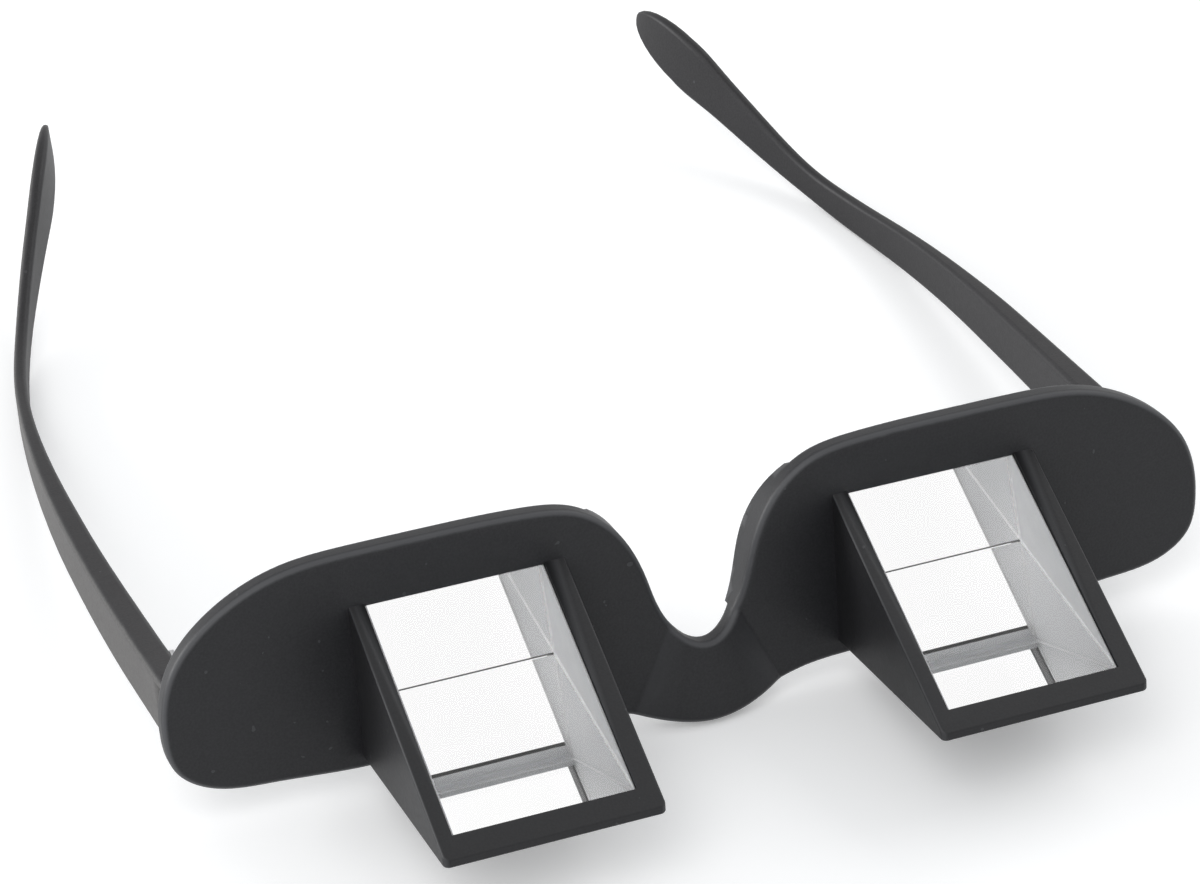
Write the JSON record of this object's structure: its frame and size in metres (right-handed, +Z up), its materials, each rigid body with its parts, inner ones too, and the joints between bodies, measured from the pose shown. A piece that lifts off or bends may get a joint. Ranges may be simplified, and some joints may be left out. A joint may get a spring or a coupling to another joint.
{
  "type": "prism bed glasses",
  "caption": "Glasses with a right-angle prism in a wedge-shaped hood before each eye, so that a person lying flat reads what stands on the chest; both temples fold.",
  "frame": {"origin": "the middle of the box that holds the glasses as they stand, at the level that they stand on", "axes": "+X across the front from the left prism to the right, +Y from the front back along the temples, +Z up; the front leans back by 11.2 degrees as it stands"},
  "size_m": [0.152, 0.1874, 0.0356],
  "materials": {
    "front_plastic": "fine satin moulded black",
    "hood_plastic": "satin moulded black",
    "temple_plastic": "fine satin moulded black",
    "prism_glass": "polished faces, ground sides",
    "mirror_plate": "silvered plate",
    "hinge_metal": "brushed",
    "screw_metal": "turned"
  },
  "bodies": {
    "frame": {"front_frame": "front_plastic", "left_prism_hood": "hood_plastic", "right_prism_hood": "hood_plastic", "left_prism": "prism_glass", "right_prism": "prism_glass", "left_mirror_plate": "mirror_plate", "right_mirror_plate": "mirror_plate", "left_prism_retainer": "hood_plastic", "right_prism_retainer": "hood_plastic", "left_front_hinge_leaf": "hinge_metal", "right_front_hinge_leaf": "hinge_metal", "left_hinge_screw": "screw_metal", "right_hinge_screw": "screw_metal", "left_front_leaf_screws": "screw_metal", "right_front_leaf_screws": "screw_metal"},
    "left_temple": {"left_temple": "temple_plastic", "left_temple_hinge_leaf": "hinge_metal", "left_temple_leaf_screws": "screw_metal"},
    "right_temple": {"right_temple": "temple_plastic", "right_temple_hinge_leaf": "hinge_metal", "right_temple_leaf_screws": "screw_metal"}
  },
  "joints": [
    {"name": "right_temple_hinge", "type": "hinge", "parent": "frame", "child": "right_temple", "pos_m": [0.0689, -0.05388, 0.01609], "axis": [0, 0.1946, 0.9809], "range_deg": [0, 84]},
    {"name": "left_temple_hinge", "type": "hinge", "parent": "frame", "child": "left_temple", "pos_m": [-0.0689, -0.05388, 0.01609], "axis": [0, -0.1946, -0.9809], "range_deg": [0, 73]}
  ]
}
